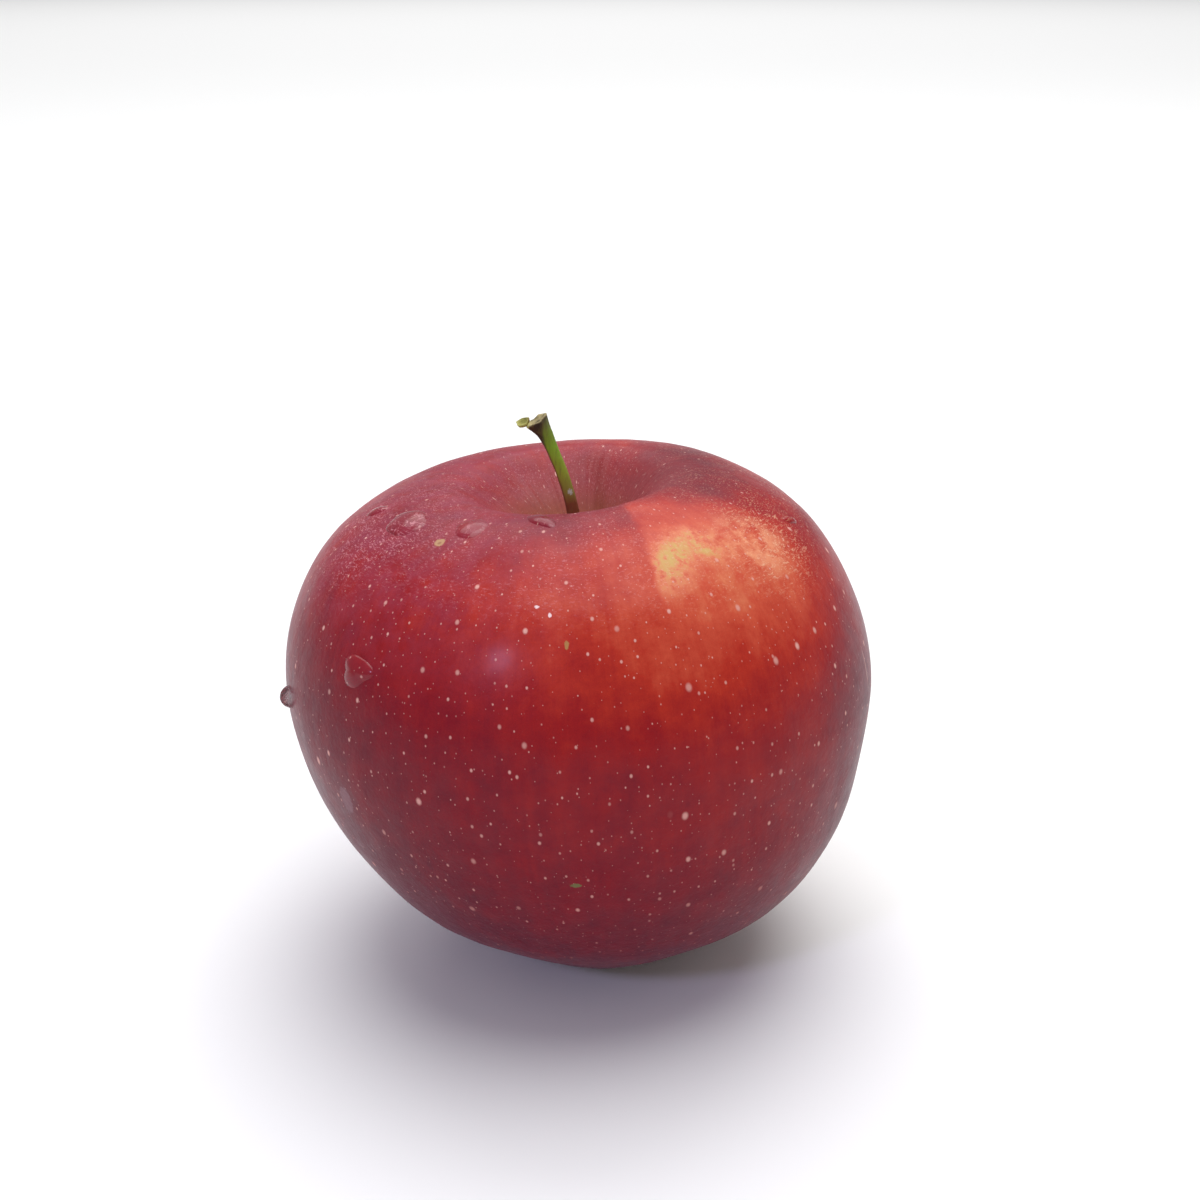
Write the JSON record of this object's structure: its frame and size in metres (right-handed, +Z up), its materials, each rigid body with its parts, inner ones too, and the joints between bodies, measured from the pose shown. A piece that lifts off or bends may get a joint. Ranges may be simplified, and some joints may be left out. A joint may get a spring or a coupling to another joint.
{
  "type": "red apple",
  "caption": "Whole red apple as picked, with its stem above and dried sepals and stamens in the basin below; it rests on its base lobes.",
  "frame": {"origin": "under the middle of the fruit's width and depth, on the surface that it rests on", "axes": "+Z up from the resting surface towards the stem; +X to the right of the side that faces -Y; the stem leans towards -X"},
  "size_m": [0.0806, 0.0794, 0.078],
  "materials": {
    "apple_skin": "waxy skin in deep red to orange-red with pale dots and one yellow patch, satin gloss",
    "stem_bark": "green bark, brown at its foot and at its torn end",
    "sepal": "dry grey-brown leaf, matt and downy",
    "stamen": "dry dark brown threads, matt"
  },
  "bodies": {
    "root": {"fruit": "apple_skin", "stem": "stem_bark", "sepal_1": "sepal", "sepal_2": "sepal", "sepal_3": "sepal", "sepal_4": "sepal", "sepal_5": "sepal", "stamen_tuft": "stamen"}
  },
  "joints": []
}
